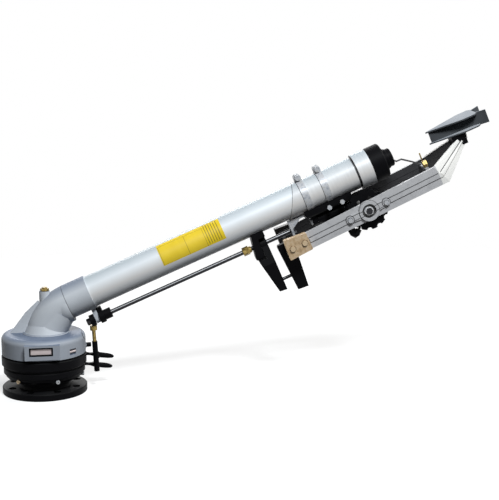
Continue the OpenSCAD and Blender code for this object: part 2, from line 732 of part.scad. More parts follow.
module trip_hub() color("#35373b") difference() {
    on_reverser(hub_s, rod_v) along(14, hub_l);
    on_reverser(hub_s - cut, rod_v) along(rod_r + fit, hub_l + 2*cut);
    knuckle_space(fit);
}

module trip_rod() color("#b08d4a") {
    knuckle_space(0);
    on_trip() translate([0, 0, -trip_l + 4]) cylinder(r = trip_rod_r, h = trip_l - 4 - knuckle_top - 1);
}

module trip_sleeve() color("#2f3134") on_trip() translate([0, 0, -trip_l]) difference() {
    cylinder(r = trip_sleeve_d/2, h = trip_l - trip_brass_l);
    translate([0, 0, 4 - fit]) cylinder(r = trip_rod_r + fit, h = trip_l);
}

// A lever keyed to the rod. Its slot rolls the tail of the drive arm through the guide pin.
module reversing_lever() color("#1f2024") on_reverser() difference() {
    slot_low = pivot_v - pin_drop - pin_r - 5;
    slot_high = pivot_v - pin_drop + 44;
    foot = rod_v - 119;
    intersection() {
        side_plate(-40, 40) polygon([
            [lever_s, rod_v + 15], [lever_e, rod_v + 15], [lever_e, foot], [lever_e - 19, foot + 2],
            [hanger_s + 4, rod_v - 36], [hanger_s + 4, rod_v - 31.5], [lever_s, rod_v - 31.5]]);
        union() {
            translate([hanger_s, 0, rod_v]) along(14, lever_e + cut - hanger_s);
            end_plate(hanger_s, lever_e + cut)
                polygon([[-13, rod_v - 3], [13, rod_v - 3], [7, rod_v - 40], [pin_y + 12, rod_v - 60],
                         [pin_y + 12, foot], [pin_y - 12, foot], [pin_y - 12, rod_v - 45]]);
        }
    }
    translate([hanger_s - cut, 0, rod_v]) along(rod_r + fit, 60);
    translate([hanger_s - cut, pin_y - pin_r - 0.6, slot_low])
        cube([60, 2*pin_r + 1.2, slot_high - slot_low]);
}

module trunnion_pin() color("#c0c3c7") on_reverser(lug_pair_s[0] - 5, rod_v)
    along(trunnion_d/2, lug_pair_s[1] - lug_pair_s[0] + lug_pair_t + 10);

module yoke() color("#25262a") on_reverser() difference() {
    hub_0 = lug_pair_s[0] + lug_pair_t + 1;
    hub_1 = lug_pair_s[1] - 1;
    union() {
        translate([hub_0, 0, rod_v]) along(yoke_hub_r, hub_1 - hub_0);
        translate([hub_0 + 9, -9, yoke_beam_bottom])
            cube([hub_1 - hub_0 - 13, 18, rod_v - yoke_beam_bottom]);
        side_plate(-yoke_half_w, yoke_half_w) polygon([
            [hub_0 + 18, yoke_beam_bottom + 6], [hub_0 + 26, yoke_beam_bottom], [pivot_s, yoke_beam_bottom],
            [pivot_s, yoke_beam_top], [hub_0 + 18, yoke_beam_top]]);
        translate([pivot_s, 0, pivot_v]) across(pivot_r + 8, -yoke_near, inner_y - carrier_t - 0.5);
        translate([pivot_s, -14, nose_bottom]) cube([nose_s - pivot_s, 28, nose_top - nose_bottom]);
    }
    translate([hub_0 - cut, 0, rod_v]) along(trunnion_d/2 + fit, hub_1 - hub_0 + 2*cut);
    translate([pivot_s, 0, pivot_v]) across(pivot_r + fit, -inner_y, inner_y);
}

module stop_pad() color("#141416") on_reverser()
    translate([nose_s - 18, -12, nose_bottom - pad_t]) cube([18, 24, pad_t]);

module pivot_shaft() color("#d4d6d8") on_pivot() across(pivot_r, -outer_y - 7, outer_y + 7);

module pivot_nuts() color("#d4d6d8") on_pivot() for (m = [0, 1]) mirror([0, m, 0]) difference() {
    union() {
        across(pivot_r + 6, -outer_y - 0.5, -outer_y + 2 - seat);
        hex_across(pivot_r + 4.5, -outer_y - 6, -outer_y + 1);
    }
    across(pivot_r + fit, -outer_y - 8, -outer_y + 4);
}

module star_wheel() color("#1c1d20") on_pivot() difference() {
    union() {
        across(star_d/2, -star_y, -star_y + star_t);
        across(pivot_r + 6, -star_y, -yoke_near - seat);
    }
    for (i = [0:star_teeth - 1]) rotate([0, -detent_angle - i*360/star_teeth, 0])
        translate([star_d/2 + 1, 0, 0]) across(star_gullet_r, -star_y - cut, -star_y + star_t + cut);
    for (i = [0:5]) rotate([0, 60*i, 0]) translate([28, 0, 0])
        across(5, -star_y - cut, -star_y + star_t + cut);
    across(pivot_r + fit, -star_y - cut, 0);
}

// A sprung plunger in a bracket on the yoke, which rests in one of the star wheel's gullets
module detent() color("#1b1c1f") on_pivot() {
    y0 = -star_y + star_t/2;
    translate([-64, y0 - 3, yoke_beam_bottom - pivot_v + 5]) cube([14, -y0 + 3 - yoke_half_w, 8]);
    side_plate(y0 - 3, y0 + 3) polygon([[-64, -12], [-64, -4], [-52.5, -4], [-52, -12], [-41, -36],
                                      [-42, -50], [-52, -52], [-60, -42]]);
    translate([0, y0, 0]) rotate([0, -detent_angle, 0]) {
        translate([star_d/2 + 2.5, 0, 0]) along(7, 14);
        translate([star_d/2 - 2, 0, 0]) along(3.2, 6);
        translate([star_d/2 - 2, 0, 0]) sphere(r = 3.2, $fn = 24);
    }
}

// Drive arm

// The flat part of the near arm, its rib and its bosses
module arm_flat() difference() {
    union() {
        side_plate(-outer_y, -inner_y) polygon([
            [tail_root, -arm_half_0], [tail_root, arm_half_0], [arm_l - bend_lean, arm_half_1],
            [arm_l + bend_lean, -arm_half_1]]);
        side_plate(-inner_y - tongue_t, -inner_y)
            polygon([[tail_end, -18], [tail_end, 18], [tail_root + 1, 18], [tail_root + 1, -18]]);
        side_plate(-outer_y - 2, -outer_y + 1) polygon([[tail_root + 2, -5.5], [tail_root + 2, 5.5],
                                                    [arm_l - 2, 5.5], [arm_l + 2, -5.5]]);
        across(boss_r, -outer_y - boss_proud, -inner_y);
        for (a = bolt_a) {
            translate([a, 0, 0]) across(9, -outer_y - 4, -inner_y);
            side_plate(-outer_y - 3.4, -outer_y + 1)
                polygon([[0, -12], [0, 12], [a, 7], [a, -7]]);
        }
    }
    across(recess_r, -outer_y - boss_proud - cut, -outer_y + 2);
    across(bush_r + fit, -outer_y - cut, -inner_y + cut);
    for (a = bolt_a) translate([a, 0, 0]) across(3 + fit, -outer_y - 5, -inner_y + cut);
    for (a = weight_bolt_a) translate([a, 0, weight_bolt_b]) across(4 + fit, -outer_y - cut, -inner_y + cut);
}

// The bent part, folded up and inwards about a line on the outer face
module arm_bent() {
    root = arm_half_1/cos(bent_up);
    tip = 8;
    translate([arm_l, -outer_y, 0]) rotate([0, -bent_up, 0]) rotate([0, 0, bent_in]) {
        side_plate(0, arm_t) {
            polygon([[0, -root], [0, root], [bent_l - 8, tip], [bent_l, tip - 3], [bent_l, -tip], [bent_l - 10, -tip]]);
        }
        side_plate(-2, 1) polygon([[0, -6], [0, 6], [bent_l - 12, 2.5], [bent_l - 12, -2.5]]);
    }
}

module arm() {
    arm_flat();
    difference() {
        arm_bent();
        side_plate(-outer_y - 4, 0) polygon([
            [arm_l - 2*bend_lean, 2*arm_half_1], [arm_l + 2*bend_lean, -2*arm_half_1],
            [arm_l - 60, -2*arm_half_1], [arm_l - 60, 2*arm_half_1]]);
    }
}

module near_arm() color("#aeb2b7") on_arm() arm();
module far_arm() color("#aeb2b7") on_arm() mirror([0, 1, 0]) arm();

module bearing_carriers() color("#8d9196") on_arm() for (m = [0, 1]) mirror([0, m, 0]) difference() {
    side_plate(-inner_y, -inner_y + carrier_t) {
        circle(r = 20);
        for (a = bolt_a) {
            translate([a, 0]) circle(r = 9);
            polygon([[0, -18], [0, 18], [a, 8.5], [a, -8.5]]);
        }
    }
    across(bush_r + fit, -inner_y - cut, -inner_y + carrier_t + cut);
    for (a = bolt_a) translate([a, 0, 0]) across(3 + fit, -inner_y - cut, -inner_y + carrier_t + cut);
}

module arm_bushes() color("#b08d4a") on_arm() for (m = [0, 1]) mirror([0, m, 0]) difference() {
    across(bush_r, -outer_y + 2, -inner_y + carrier_t);
    across(pivot_r + fit, -outer_y, 0);
}

// Bolts of the bearing carriers and of the weights
module arm_bolts() color("#d4d6d8") on_arm() for (m = [0, 1]) mirror([0, m, 0]) {
    for (a = bolt_a) translate([a, 0, 0]) {
        across(3, -outer_y - 6, -inner_y + carrier_t);
        across(5.5, -outer_y - 7.5, -outer_y - 4);
    }
    for (a = weight_bolt_a) translate([a, 0, weight_bolt_b]) {
        across(4, weight_face - 1, -inner_y);
        across(6, weight_face - 3.5, weight_face);
    }
}

module arm_weights() color("#c2a983") on_arm() for (m = [0, 1]) mirror([0, m, 0]) difference() {
    side_plate(weight_face, -inner_y - tongue_t) polygon([
        [-213, 27], [-211, 29], [-158, 23], [tail_root - fit, 21], [tail_root - fit, -18],
        [-159, -19.5], [-214, -21], [-216, -19]]);
    for (a = weight_bolt_a) translate([a, 0, weight_bolt_b]) across(4 + fit, weight_face - cut, 0);
}

module tail_weight() color("#2a2b2f") on_arm() side_plate(-inner_y, tail_weight_in)
    polygon([[-212, -20], [-212, 12], [tail_root, 12], [tail_root, -18], [-200, -20]]);

// The tail plate hangs from the tail weight and holds the guide pin
module tail_plate() color("#1f2024") on_pivot() difference() {
    side_plate(tail_weight_in, tail_weight_in + 12) polygon([
        [-229, -2], [-227, 2], [-192, 2], [-191, -49], [-196, -119], [-222, -117], [-229, -8]]);
    translate([-240, pin_y, -pin_drop]) along(pin_r + fit, 29);
}

module guide_pin() color("#d4d6d8") on_pivot() translate([lever_e - 8 - pivot_s, pin_y, -pin_drop])
    along(pin_r, -211 - lever_e + 8 + pivot_s - fit);

module tie_bars() color("#9da1a6") {
    on_reverser(nose_s - 8, nose_bottom - pad_t - seat - tie_r) across(tie_r, -inner_y, inner_y);
    on_reverser(breaker_s, breaker_v) across(tie_r, -inner_y, inner_y);
}

// Plan of one side wall of the deflector: straight from the knife edge, then curving outwards
function wall_curve(off) = [for (i = [0:8]) let (a = wall_lead/2 + wall_turn*i/8)
    [wall_start + wall_r*(sin(a) - sin(wall_lead/2)) - off*sin(a),
     11 + wall_r*(cos(wall_lead/2) - cos(a)) + off*cos(a)]];

module deflector_plate_plan() polygon([
    [0, -1], [0, 1], [plate_l - 37, deflector_half_w], [plate_l - 7, deflector_half_w],
    [plate_l, deflector_half_w - 8], [plate_l, -deflector_half_w + 8], [plate_l - 7, -deflector_half_w],
    [plate_l - 37, -deflector_half_w]]);

module deflector() color("#4a5058") on_reverser(deflector_tip, deflector_bottom) difference() {
    union() {
        linear_extrude(deflector_t) deflector_plate_plan();
        translate([0, 0, deflector_h - deflector_t]) linear_extrude(deflector_t) deflector_plate_plan();
        for (m = [0, 1]) mirror([0, m, 0]) linear_extrude(deflector_h) polygon(concat(
            [[6, 0]], wall_curve(0), [for (i = [8:-1:0]) wall_curve(-deflector_t)[i]], [[22, 0]]));
    }
    for (s = deflector_bolt_s) translate([s - deflector_tip, 0, -cut]) cylinder(r = 2.5 + fit, h = deflector_t + 2*cut);
}

// The block between the arm tips that the deflector is bolted to
module deflector_bracket() color("#2a2b2f") difference() {
    on_reverser(deflector_tip + 50, bracket_top - bracket_h) translate([0, -20, 0]) cube([34, 40, bracket_h]);
    on_arm() arm_bent();
    on_arm() mirror([0, 1, 0]) arm_bent();
    for (s = deflector_bolt_s) on_reverser(s, bracket_top - 16) cylinder(r = 2.5 + fit, h = 20);
}

module deflector_bolts() color("#d4d6d8") for (s = deflector_bolt_s) on_reverser(s, bracket_top - 15) {
    cylinder(r = 2.5, h = 15 + deflector_t + 1);
    translate([0, 0, 15 + deflector_t]) cylinder(r = 4.3, h = 3);
}

// A bent wire that breaks up the jet when the arm is up
module breaker_wire() color("#33363a") on_reverser() {
    points = [[outlet_s + 2.5, -11], [outlet_s + 6, -15], [outlet_s + 19, -15.5], [breaker_s - 26, -32],
              [breaker_s - 10.5, clamp_wire_v], [breaker_s, clamp_wire_v]];
    for (i = [0:len(points) - 2]) let (p = points[i], q = points[i + 1], l = norm(q - p)) {
        translate([p[0], 0, p[1]]) rotate([0, -atan2(q[1] - p[1], q[0] - p[0]), 0]) along(2, l);
        if (i < len(points) - 2) translate([q[0], 0, q[1]]) sphere(r = 2.2, $fn = 24);
    }
}

// The brass clamp on the front tie bar that holds the wire, with its tall pin
module breaker_clamp() color("#b08d4a") on_reverser() difference() {
    union() {
        translate([breaker_s - 5, 0, breaker_v + tie_r + clamp_r*cos(30) + fit]) rotate([30, 0, 0])
            hex_along(clamp_r, 10);
        translate([breaker_s - 2, 4.2, clamp_wire_v - 4]) cylinder(r = 1.6, h = 29);
    }
    translate([breaker_s - 6, 0, clamp_wire_v]) along(2.3, 8);
}

inlet_flange();
brake_housing();
housing_screws();
lip_seal();
bearing_outer_race();
brake_ring();
ring_spacer();
upper_stop_ring();
lower_stop_ring();
turntable_bell();
elbow();
spindle();
bearing_inner_race();
bearing_balls();
bearing_nut();
bell_inserts();
brake_screw();
port_plug();
barrel_socket();
barrel();
stream_vanes();
nozzle_sleeve();
clamp_bands();
clamp_bolts();
nozzle_ring();
nozzle_cap();
nozzle();
rod_rear_bearing();
rod_hanger();
saddle();
saddle_bolts();
rod_bracket();
reversing_rod();
rod_nuts();
trip_hub();
trip_rod();
trip_sleeve();
reversing_lever();
yoke();
trunnion_pin();
pivot_shaft();
pivot_nuts();
stop_pad();
detent();
star_wheel();
near_arm();
far_arm();
bearing_carriers();
arm_bushes();
arm_bolts();
arm_weights();
tail_weight();
tail_plate();
guide_pin();
tie_bars();
deflector();
deflector_bracket();
deflector_bolts();
breaker_wire();
breaker_clamp();
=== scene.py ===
"""Looks of a large impact sprinkler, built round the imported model.

Metres, +Z up. The barrel rises towards +X, and -Y is the near side, which the photograph shows.
"""
import math

import bmesh
import bpy
from mathutils import Matrix, Vector
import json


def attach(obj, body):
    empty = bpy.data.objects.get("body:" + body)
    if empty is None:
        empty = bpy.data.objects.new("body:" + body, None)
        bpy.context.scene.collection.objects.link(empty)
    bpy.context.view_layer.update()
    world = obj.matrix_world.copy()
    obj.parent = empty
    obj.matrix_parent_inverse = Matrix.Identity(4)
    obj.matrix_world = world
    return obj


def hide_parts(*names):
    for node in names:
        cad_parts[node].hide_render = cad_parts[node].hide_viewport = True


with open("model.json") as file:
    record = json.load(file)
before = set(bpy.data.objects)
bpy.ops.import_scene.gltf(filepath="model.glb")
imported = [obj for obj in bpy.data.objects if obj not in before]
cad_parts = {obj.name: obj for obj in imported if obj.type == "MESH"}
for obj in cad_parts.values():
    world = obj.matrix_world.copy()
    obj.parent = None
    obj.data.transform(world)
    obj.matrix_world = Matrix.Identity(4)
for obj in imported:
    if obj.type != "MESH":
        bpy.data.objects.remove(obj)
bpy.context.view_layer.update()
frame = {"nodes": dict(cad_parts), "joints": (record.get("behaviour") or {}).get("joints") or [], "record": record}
nodes = frame["nodes"]
joints = {joint["name"]: joint for joint in frame["joints"]}


def frame_at(origin, x_axis, z_axis):
    """The matrix of a frame with its x axis and z axis along two directions."""
    y_axis = z_axis.cross(x_axis)
    columns = Matrix((x_axis, y_axis, z_axis)).transposed().to_4x4()
    return Matrix.Translation(origin) @ columns


# Frames of the part: along the barrel (x), across it (y) and square to it upwards (z)
UP = Vector((0, 0, 1))
ROD_DROP = 0.065
REST_ROLL = math.radians(4)
ARM_TILT = math.radians(2.35)
rod_point = Vector(joints["reverse_roll"]["pos_m"])
pivot_point = Vector(joints["arm_swing"]["pos_m"])
barrel_dir = Vector(joints["reverse_roll"]["axis"]).normalized()
barrel_up = Vector((-barrel_dir.z, 0, barrel_dir.x))
ON_BARREL = frame_at(rod_point + barrel_up * ROD_DROP, barrel_dir, barrel_up)
ROLL = (
    Matrix.Translation(rod_point)
    @ Matrix.Rotation(REST_ROLL, 4, barrel_dir)
    @ Matrix.Translation(-rod_point)
)
ON_REVERSER = ROLL @ ON_BARREL
ON_PIVOT = ROLL @ frame_at(ROLL.inverted() @ pivot_point, barrel_dir, barrel_up)
ON_ARM = ON_PIVOT @ Matrix.Rotation(-ARM_TILT, 4, "Y")

# The front part of the near arm is bent up and inwards; the far arm mirrors it
ARM_L = 0.191
ARM_FACE = 0.060
BENT_UP = math.radians(25.3)
BENT_IN = math.radians(24.5)
ON_BENT = (
    ON_ARM
    @ Matrix.Translation((ARM_L, -ARM_FACE, 0))
    @ Matrix.Rotation(-BENT_UP, 4, "Y")
    @ Matrix.Rotation(BENT_IN, 4, "Z")
)
ON_FAR_BENT = ON_ARM @ Matrix.Scale(-1, 4, (0, 1, 0)) @ ON_ARM.inverted() @ ON_BENT

# Places that the materials mark: on the base, along the barrel, and on the arms
BELL_TOP = 0.1425
SEAM_S = 0.0642
SLEEVE_END = 0.637
SLEEVE_SLANT = 0.4847
BAND_EDGES = (0.6653, 0.7153)
RING_GROOVE = 0.806
RING_GROOVE_HALF = 0.0022
BLACK_NUTS_END = 0.2
RIB_EDGE = 0.0061
ARM_INNER_FACE = 0.0535
CARRIER_BOLTS = (-0.050, 0.0445)
CARRIER_BOSS_R = 0.0092
CARRIER_BOSS_FOOT = 0.0100
CARRIER_HEAD_FOOT = 0.0062
PIVOT_BOSS_FOOT = 0.0249
BENT_RIB_EDGE = 0.0067
BENT_RIB_TAPER = 0.038
BENT_INNER_FACE = (0.0076, 0.0092)
WEIGHT_FRONT = -0.16
WEIGHT_HALF_H = 0.02
WEIGHT_NEAR_Y = -0.05
WEIGHT_BOLTS = (-0.200, -0.169)
WEIGHT_BOLT_RISE = 0.002
WEIGHT_BOLT_FOOT = 0.0075

# How soft the edge of a mark is, in metres
CRISP = 0.0004
SOFT = 0.001

# Decal on the near side of the barrel
DECAL_START = 0.305
DECAL_END = 0.464
DECAL_LOW = math.radians(-15)
DECAL_HIGH = math.radians(73)
DECAL_R = 0.0381
DECAL_T = 0.00015
DECAL_STEPS = 40

# Marks on the decal, as shares of its length and height
DECAL_LEFT_LINE = 0.015
DECAL_TOP_LINE = 0.84
DECAL_TOP_LINE_END = 0.8
DECAL_DIVIDERS = (0.425, 0.715)
DECAL_BARS = (0.745, 0.955)
DECAL_BARS_LOW = 0.06
DECAL_BAR_COUNT = 26.0

# Window in the bell: a dark frame round the bare plate, as painted shade in the recess
WINDOW_FRONT = (-0.0025, -0.1027, 0.1185)
WINDOW_SIZE = (0.0538, 0.0198)
SHADE_FRAME_W = 0.0034
SHADE_FRAME_T = 0.0027

# Pivot: a dark ring of painted shade in each boss, with a washer and a small nut; profiles of (along, radius)
BOSS_SHADE_RING = [(0.0581, 0.0112), (0.0581, 0.0167), (0.0586, 0.0167), (0.0586, 0.0112)]
WASHER = [
    (0.0582, 0.0081), (0.0582, 0.0110), (0.0600, 0.0110), (0.0602, 0.0107), (0.0602, 0.0081),
]
NUT_ACROSS_FLATS = 0.0185
NUT_START = 0.0602
NUT_END = 0.0652
NUT_HOLE_R = 0.0081

# Front of the arms: the bent plates run on to the deflector; outlines of (x, z) on the bent part
BENT_T = 0.0083
BENT_PROUD = 0.0002
BENT_BEVEL = 0.0006
BENT_OUTLINE = [
    (0.0, -0.0263), (0.0, 0.0263), (0.107, 0.010),
    (0.122, 0.0125), (0.129, 0.004), (0.118, -0.0085),
]
BENT_RIB = [(0.001, -0.0060), (0.001, 0.0060), (0.106, 0.0025), (0.106, -0.0025)]
BENT_RIB_SPAN = (-0.0022, 0.001)
BENT_RIB_BEVEL = 0.0005
SHARPER_THAN = math.radians(20)

# Grips on the stop fingers, as (along, radius); the upper one has a bump near its root
FINGER_ANGLE = math.radians(14)
FINGER_DROOP = math.radians(11)
UPPER_FINGER = (0.099, 0.080)
LOWER_FINGER = (0.095, 0.056)
GRIP = [
    (0.026, 0.0), (0.026, 0.0052), (0.029, 0.0066), (0.036, 0.0062), (0.046, 0.0064),
    (0.058, 0.0060), (0.066, 0.0046), (0.070, 0.0024), (0.0712, 0.0),
]
BUMPED_ROOT = [(0.020, 0.0), (0.020, 0.0052), (0.024, 0.0086), (0.031, 0.0090), (0.036, 0.0066)]
BUMPED_GRIP = BUMPED_ROOT + GRIP[4:]
GRIP_STEPS = 32

# Thin face on the deflector's top plate, from its knife edge outwards, which carries the plate's painted light
FACE_START = 0.996
FACE_TOP = 0.0203
FACE_T = 0.0006
FACE_PLAN = [
    (0.0004, 0.0), (0.088, 0.0318), (0.118, 0.0318), (0.1248, 0.024),
    (0.1248, -0.024), (0.118, -0.0318), (0.088, -0.0318),
]

# Bead where the elbow meets the bell
BEAD_CENTRE = (0.0065, 0, 0.1424)
BEAD_R = 0.0522
BEAD_HALF = 0.0024
BEAD_POINTS = 10
BEAD_STEPS = 96

# Camera, fitted to the photograph's 499 x 500 frame
CAMERA_AZIMUTH = math.radians(-6.829)
CAMERA_ELEVATION = math.radians(10.016)
CAMERA_ROLL = math.radians(-0.392)
CAMERA_PLACE = (0.1294, -3.0044, 0.8579)
FOCAL_PIXELS = 1296.6
LONG_SIDE = 500
SENSOR = 36.0
CAMERA_REACH = 50

# Stage: a floor and a world that show as white, and the object's soft shadow
FLOOR_HALF = 3
FLOOR_CENTRE = (0.55, 0.1, 0.0)
FLOOR_FADES_AT = 1.5
FLOOR_FADE = 0.7
FLOOR_GLOW = 0.62
FLOOR_PAPER = (0.42, 0.42, 0.42, 1)
FLOOR_UNSEEN = (0.03, 0.03, 0.03, 1)
AMBIENT = 0.035
AMBIENT_COLOUR = (0.93, 0.96, 1.0, 1)
MIDDLE = Vector((0.5, 0.0, 0.3))

# Soft boxes: name, place, size, watts and colour
LIGHTS = [
    ("key", (0.75, -2.15, 2.9), (1.0, 0.7), 148, (0.94, 0.975, 1.0)),
    ("right", (2.8, 0.1, 2.5), (0.9, 0.9), 60, (1.0, 0.99, 0.97)),
    ("back", (0.1, 2.8, 1.8), (1.8, 1.4), 45, (1.0, 1.0, 1.0)),
]
SHARP_ANGLE = math.radians(35)


class Value:
    """An output socket. Its operators add Math nodes, so shader maths reads as an expression."""

    def __init__(self, shader, socket):
        self.shader = shader
        self.socket = socket

    def maths(self, operation, *values):
        return self.shader.node("ShaderNodeMath", {"operation": operation}, dict(enumerate(values)))

    def __add__(self, other):
        return self.maths("ADD", self, other)

    __radd__ = __add__

    def __sub__(self, other):
        return self.maths("SUBTRACT", self, other)

    def __rsub__(self, other):
        return self.maths("SUBTRACT", other, self)

    def __mul__(self, other):
        return self.maths("MULTIPLY", self, other)

    def __truediv__(self, other):
        return self.maths("DIVIDE", self, other)

    def __abs__(self):
        return self.maths("ABSOLUTE", self)

    def squared(self):
        return self.maths("MULTIPLY", self, self)

    def root(self):
        return self.maths("SQRT", self)

    def clamp(self):
        return self.maths("MINIMUM", self.maths("MAXIMUM", self, 0.0), 1.0)

    def below(self, limit, softness):
        """1 where the value is under the limit, fading to 0 over the softness."""
        return ((limit - self) / softness + 0.5).clamp()

    def above(self, limit, softness):
        """1 where the value is over the limit, fading to 0 over the softness."""
        return 1.0 - self.below(limit, softness)


class Nodes:
    """A node tree: node() adds a node and returns its output."""

    def __init__(self, tree):
        self.tree = tree

    def node(self, kind, settings=None, inputs=None, output=0):
        made = self.tree.nodes.new(kind)
        for key, value in (settings or {}).items():
            if key == "stops":
                self.set_stops(made.color_ramp, value)
            else:
                setattr(made, key, value)
        for key, value in (inputs or {}).items():
            self.feed(made.inputs[key], value)
        return Value(self, made.outputs[output])

    def set_stops(self, ramp, stops):
        while len(ramp.elements) < len(stops):
            ramp.elements.new(0.5)
        for element, (place, colour) in zip(ramp.elements, stops):
            element.position = place
            element.color = (*colour, 1)

    def feed(self, socket, value):
        """Links a Value to an input, or sets a constant on it."""
        if isinstance(value, Value):
            self.tree.links.new(value.socket, socket)
        else:
            socket.default_value = value

    def seen(self):
        """1 for a ray from the camera, a mirror or glass, which sees the white background."""
        camera, glossy, glass = (
            self.node("ShaderNodeLightPath", output=name)
            for name in ("Is Camera Ray", "Is Glossy Ray", "Is Transmission Ray")
        )
        return (camera + glossy + glass).clamp()


class Shader(Nodes):
    def __init__(self, name):
        self.material = bpy.data.materials.new(name)
        self.material.use_nodes = True
        super().__init__(self.material.node_tree)
        self.surface = self.tree.nodes["Principled BSDF"]
        self.point = self.node("ShaderNodeTexCoord", output="Object")

    def stretched(self, matrix, scale):
        """The object's point seen in another frame, scaled along that frame's axes."""
        place = matrix.inverted()
        moved = self.node(
            "ShaderNodeMapping",
            {"vector_type": "POINT"},
            {"Vector": self.point, "Location": place.translation, "Rotation": place.to_euler()},
        )
        return self.node("ShaderNodeVectorMath", {"operation": "MULTIPLY"}, {0: moved, 1: scale})

    def dot(self, vector, direction):
        inputs = {0: vector, 1: direction}
        return self.node(
            "ShaderNodeVectorMath", {"operation": "DOT_PRODUCT"}, inputs, output="Value"
        )

    def coordinate(self, matrix, axis):
        """How far the point lies along one axis of a frame."""
        direction = matrix.to_3x3().col[axis]
        return self.dot(self.point, direction) - direction.dot(matrix.translation)

    def noise(self, scale, detail, rough=0.5, vector=None):
        inputs = {"Scale": scale, "Detail": detail, "Roughness": rough}
        return self.node("ShaderNodeTexNoise", {}, {"Vector": vector or self.point, **inputs})

    def ramp(self, value, *stops):
        return self.node("ShaderNodeValToRGB", {"stops": stops}, {0: value})

    def mix(self, factor, first, second):
        inputs = {0: factor, 6: rgba(first), 7: rgba(second)}
        return self.node("ShaderNodeMix", {"data_type": "RGBA"}, inputs, output=2)

    def upward(self):
        """1 on a face that looks straight up, 0 on an upright one, and below 0 underneath."""
        normal = self.node("ShaderNodeNewGeometry", output="Normal")
        return self.node("ShaderNodeSeparateXYZ", {}, {0: normal}, output=2)

    def line(self, value, place, half):
        """1 on a thin line where a value reaches a place."""
        return abs(value - place).below(half, half)

    def bump(self, height, depth, strength):
        inputs = {"Height": height, "Distance": depth, "Strength": strength}
        return self.node("ShaderNodeBump", {}, inputs)

    def finish(self, colour, rough, metallic=0.0, normal=None, gloss=0.5):
        self.feed(self.surface.inputs["Base Color"], rgba(colour))
        self.feed(self.surface.inputs["Roughness"], rough)
        self.feed(self.surface.inputs["Metallic"], metallic)
        if normal:
            self.feed(self.surface.inputs["Normal"], normal)
        self.surface.inputs["Specular IOR Level"].default_value = gloss
        return self.material


def rgba(colour):
    """Adds the alpha to a colour of three numbers, and passes anything else through."""
    return (*colour, 1) if isinstance(colour, tuple) and len(colour) == 3 else colour


def distance(along, rise):
    """How far a point is from where both of its coordinates are 0."""
    return (along.squared() + rise.squared()).root()


# Materials
def silver_paint():
    """Blue-grey paint over a casting, darker where it faces up as painted shade, and paler above the bell.

    The socket's seam is a dark line.
    """
    shader = Shader("silver_paint")
    cloud = shader.noise(14, 3)
    peel = shader.noise(900, 2)
    coarse = shader.noise(220, 2)
    flecks = shader.noise(2600, 1).below(0.38, 0.08)
    seam = shader.line(shader.coordinate(ON_BARREL, 0), SEAM_S, 0.0006)
    bell_paint = shader.mix(cloud, (0.27, 0.295, 0.33), (0.36, 0.385, 0.43))
    elbow_paint = shader.mix(cloud, (0.43, 0.455, 0.485), (0.55, 0.575, 0.61))
    above_bell = shader.coordinate(Matrix(), 2).above(BELL_TOP, SOFT)
    paint = shader.mix(above_bell, bell_paint, elbow_paint)
    flecked = shader.mix(flecks * 0.35, paint, (0.18, 0.20, 0.24))
    # Painted shade: paint that faces up is mixed towards a darker blue-grey
    top_side = ((shader.upward() - 0.45) * 1.9).clamp()
    top_shaded_paint = shader.mix(top_side, flecked, (0.12, 0.15, 0.21))
    colour = shader.mix(seam * 0.85, top_shaded_paint, (0.03, 0.03, 0.035))
    relief = shader.bump(peel * 0.4 + coarse * 0.6 - seam * 2.0, 0.0004, 0.35)
    return shader.finish(colour, 0.38 + cloud * 0.14, normal=relief, gloss=0.12)


def barrel_aluminium():
    """Satin tube with faint lines along it, with painted shade on top and painted warm light at the sides.

    The seams at the slanted sleeve end and the bands are dark, and the groove before the ring is dark as painted
    shade.
    """
    shader = Shader("barrel_aluminium")
    lines = shader.noise(1.0, 3, 0.6, shader.stretched(ON_BARREL, (6, 900, 900)))
    streaks = shader.noise(1.0, 3, 0.6, shader.stretched(ON_BARREL, (260, 22, 22)))
    cloud = shader.noise(18, 3)
    along = shader.coordinate(ON_BARREL, 0)
    slanted = along - shader.coordinate(ON_BARREL, 2) * SLEEVE_SLANT
    sleeve = slanted.above(SLEEVE_END, CRISP)
    tube_metal = shader.mix(cloud, (0.61, 0.65, 0.68), (0.71, 0.74, 0.77))
    sleeve_metal = shader.mix(streaks, (0.47, 0.49, 0.51), (0.68, 0.69, 0.70))
    metal = shader.mix(sleeve, tube_metal, sleeve_metal)
    # Painted shade: the upper side is mixed towards a darker blue-grey
    top_side = ((shader.upward() - 0.45) * 2.0).clamp()
    top_shaded_metal = shader.mix(top_side * 0.9, metal, (0.30, 0.35, 0.38))
    # Painted warm light: the sides just below the middle are mixed towards a warm grey
    flank = 1.0 - (abs(shader.upward() + 0.1) * 1.8).clamp()
    warm_lit_flanks = shader.mix(flank * 0.55, top_shaded_metal, (0.62, 0.575, 0.53))
    seams_and_groove_shade = shader.line(slanted, SLEEVE_END - 0.0006, 0.0005)
    for edge in BAND_EDGES:
        seams_and_groove_shade = seams_and_groove_shade + shader.line(along, edge, 0.0005)
    # Painted shade: a dark band across the groove before the ring; the thin lines above are dark joints
    seams_and_groove_shade = seams_and_groove_shade + abs(along - RING_GROOVE).below(RING_GROOVE_HALF, CRISP)
    colour = shader.mix(seams_and_groove_shade.clamp() * 0.92, warm_lit_flanks, (0.02, 0.02, 0.025))
    relief = shader.bump(lines * 0.6 + streaks * sleeve * 0.5 - seams_and_groove_shade, 0.0001, 0.3)
    return shader.finish(colour, 0.30 + lines * 0.12 + cloud * 0.05, 0.02, relief, 0.2)


